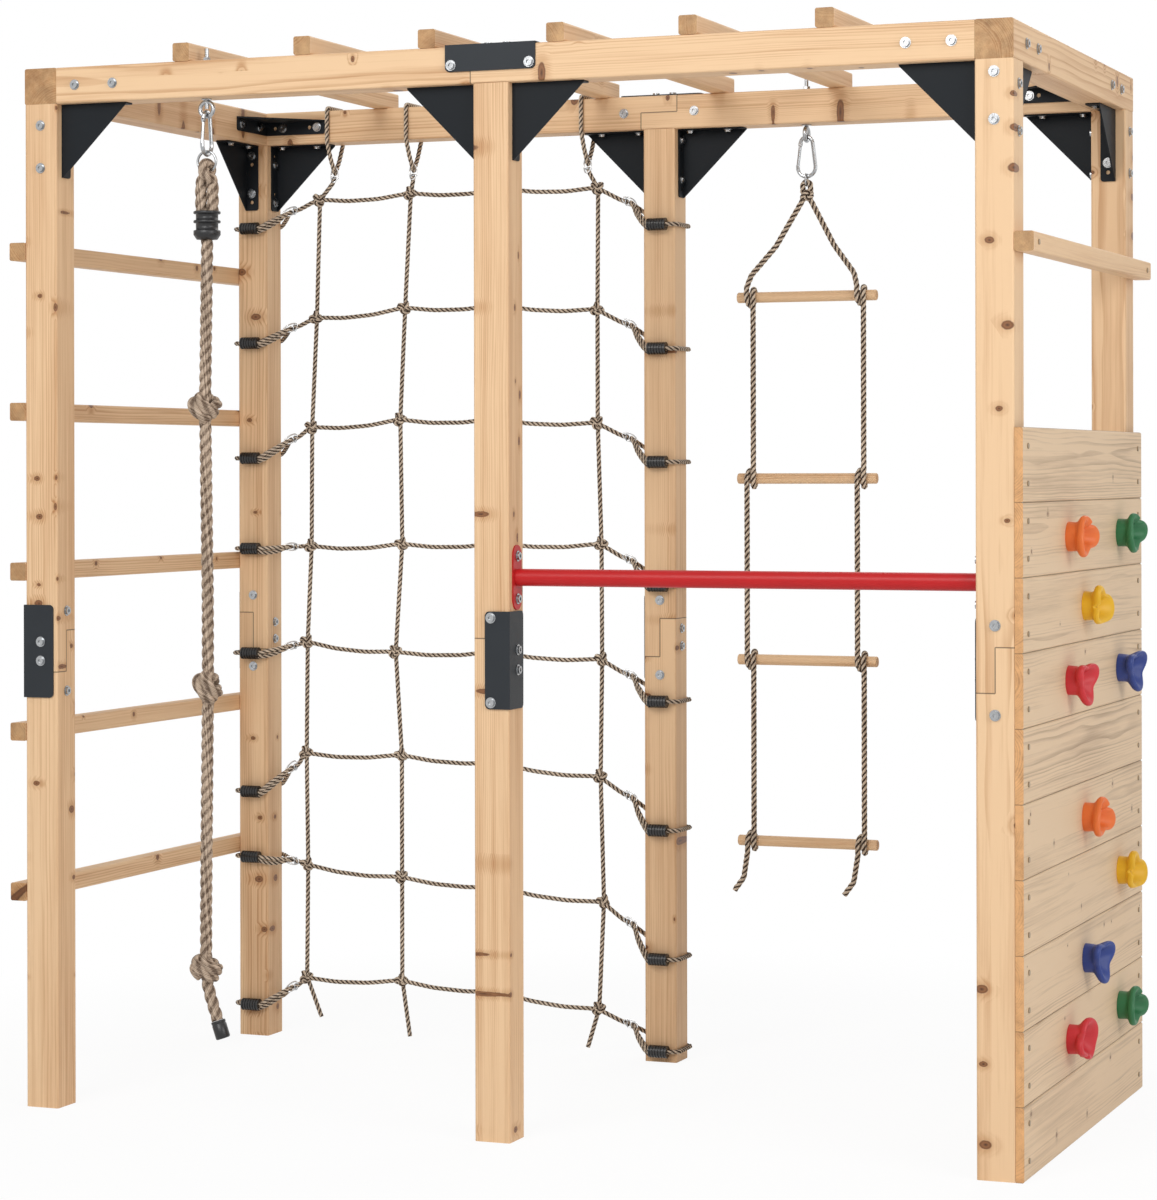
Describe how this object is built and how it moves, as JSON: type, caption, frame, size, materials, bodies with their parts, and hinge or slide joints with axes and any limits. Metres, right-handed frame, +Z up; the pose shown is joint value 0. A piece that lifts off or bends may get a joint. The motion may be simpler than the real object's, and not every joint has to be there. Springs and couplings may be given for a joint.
{
  "type": "wooden climbing frame",
  "caption": "Wooden climbing frame with monkey bars, wall bars, a climbing wall, turning bar, net, rope ladder and knotted rope.",
  "frame": {"origin": "on the ground, at the middle of the footprint", "axes": "+X along the front to the end with the climbing wall, +Y to the side with the net, +Z up"},
  "size_m": [2.066, 0.9911, 2.057],
  "materials": {
    "post_wood": "planed spruce with knots, clear oil",
    "beam_wood": "planed spruce with knots, clear oil",
    "rung_wood": "planed square bar, clear oil",
    "plank_wood": "planed boards with chamfered edges, weathered a little",
    "hold_orange": "cast resin with a fine sand texture",
    "hold_green": "cast resin with a fine sand texture",
    "hold_yellow": "cast resin with a fine sand texture",
    "hold_red": "cast resin with a fine sand texture",
    "hold_blue": "cast resin with a fine sand texture",
    "dark_bracket_paint": "satin anthracite powder coat",
    "red_bar_paint": "gloss red powder coat",
    "zinc_fasteners": "bright zinc plating",
    "zinc_links": "bright zinc plating",
    "climbing_rope_fibre": "laid three-strand rope",
    "black_plastic": "moulded black plastic",
    "ladder_rope_fibre": "laid rope",
    "ladder_rung_wood": "turned round rungs, clear oil",
    "net_rope_fibre": "laid rope"
  },
  "bodies": {
    "frame": {"front_left_post_lower": "post_wood", "front_left_post_upper": "post_wood", "front_middle_post_lower": "post_wood", "front_middle_post_upper": "post_wood", "front_right_post_lower": "post_wood", "front_right_post_upper": "post_wood", "back_left_post_lower": "post_wood", "back_left_post_upper": "post_wood", "back_middle_post_lower": "post_wood", "back_middle_post_upper": "post_wood", "back_right_post_lower": "post_wood", "back_right_post_upper": "post_wood", "left_beam": "beam_wood", "right_beam": "beam_wood", "front_beam_left": "beam_wood", "front_beam_right": "beam_wood", "back_beam_left": "beam_wood", "back_beam_right": "beam_wood", "monkey_rung_1": "rung_wood", "monkey_rung_2": "rung_wood", "monkey_rung_3": "rung_wood", "monkey_rung_4": "rung_wood", "monkey_rung_5": "rung_wood", "monkey_rung_6": "rung_wood", "wall_bars": "rung_wood", "high_bar": "rung_wood", "wall_planks": "plank_wood", "holds_orange": "hold_orange", "holds_green": "hold_green", "holds_yellow": "hold_yellow", "holds_red": "hold_red", "holds_blue": "hold_blue", "long_beam_brackets": "dark_bracket_paint", "side_beam_brackets": "dark_bracket_paint", "top_corner_brackets": "dark_bracket_paint", "post_joint_plates": "dark_bracket_paint", "beam_joint_plates": "dark_bracket_paint", "turning_bar": "red_bar_paint", "through_bolts": "zinc_fasteners", "bolt_nuts": "zinc_fasteners", "coach_screws": "zinc_fasteners", "wood_screws": "zinc_fasteners", "eye_bolts": "zinc_fasteners", "net_clips": "zinc_links", "net_sleeves": "black_plastic", "net_ropes": "net_rope_fibre", "net_straps": "net_rope_fibre"},
    "rope_carabiner": {"rope_carabiner": "zinc_links"},
    "rope_gate": {"rope_carabiner_gate": "zinc_links"},
    "climbing_rope": {"rope_ring": "zinc_links", "rope_splice": "climbing_rope_fibre", "rope_ferrule": "black_plastic", "climbing_rope": "climbing_rope_fibre", "rope_knots": "climbing_rope_fibre", "rope_end_cap": "black_plastic"},
    "ladder_carabiner": {"ladder_carabiner": "zinc_links"},
    "ladder_gate": {"ladder_carabiner_gate": "zinc_links"},
    "rope_ladder": {"ladder_link": "zinc_links", "ladder_ropes": "ladder_rope_fibre", "ladder_rungs": "ladder_rung_wood"}
  },
  "joints": [
    {"name": "rope_carabiner_swing", "type": "hinge", "parent": "frame", "child": "rope_carabiner", "pos_m": [-0.616, -0.4524, 1.916], "axis": [1, 0, 0], "range_deg": [-25, 25]},
    {"name": "rope_gate_hinge", "type": "hinge", "parent": "rope_carabiner", "child": "rope_gate", "pos_m": [-0.616, -0.46591, 1.9079], "axis": [1, 0, 0], "range_deg": [0, 25], "stiffness_Nm_per_rad": 0.08, "springref_deg": -17.19},
    {"name": "climbing_rope_swing", "type": "hinge", "parent": "rope_carabiner", "child": "climbing_rope", "pos_m": [-0.616, -0.4524, 1.8423], "axis": [0, 1, 0], "range_deg": [-17, 8]},
    {"name": "ladder_carabiner_swing", "type": "hinge", "parent": "frame", "child": "ladder_carabiner", "pos_m": [0.301, 0.4476, 1.916], "axis": [0, 1, 0], "range_deg": [-15, 3]},
    {"name": "ladder_gate_hinge", "type": "hinge", "parent": "ladder_carabiner", "child": "ladder_gate", "pos_m": [0.28749, 0.4476, 1.9079], "axis": [0, 1, 0], "range_deg": [-25, 0], "stiffness_Nm_per_rad": 0.08, "springref_deg": 17.19},
    {"name": "rope_ladder_swing", "type": "hinge", "parent": "ladder_carabiner", "child": "rope_ladder", "pos_m": [0.301, 0.4476, 1.8423], "axis": [1, 0, 0], "range_deg": [-30, 30]}
  ]
}
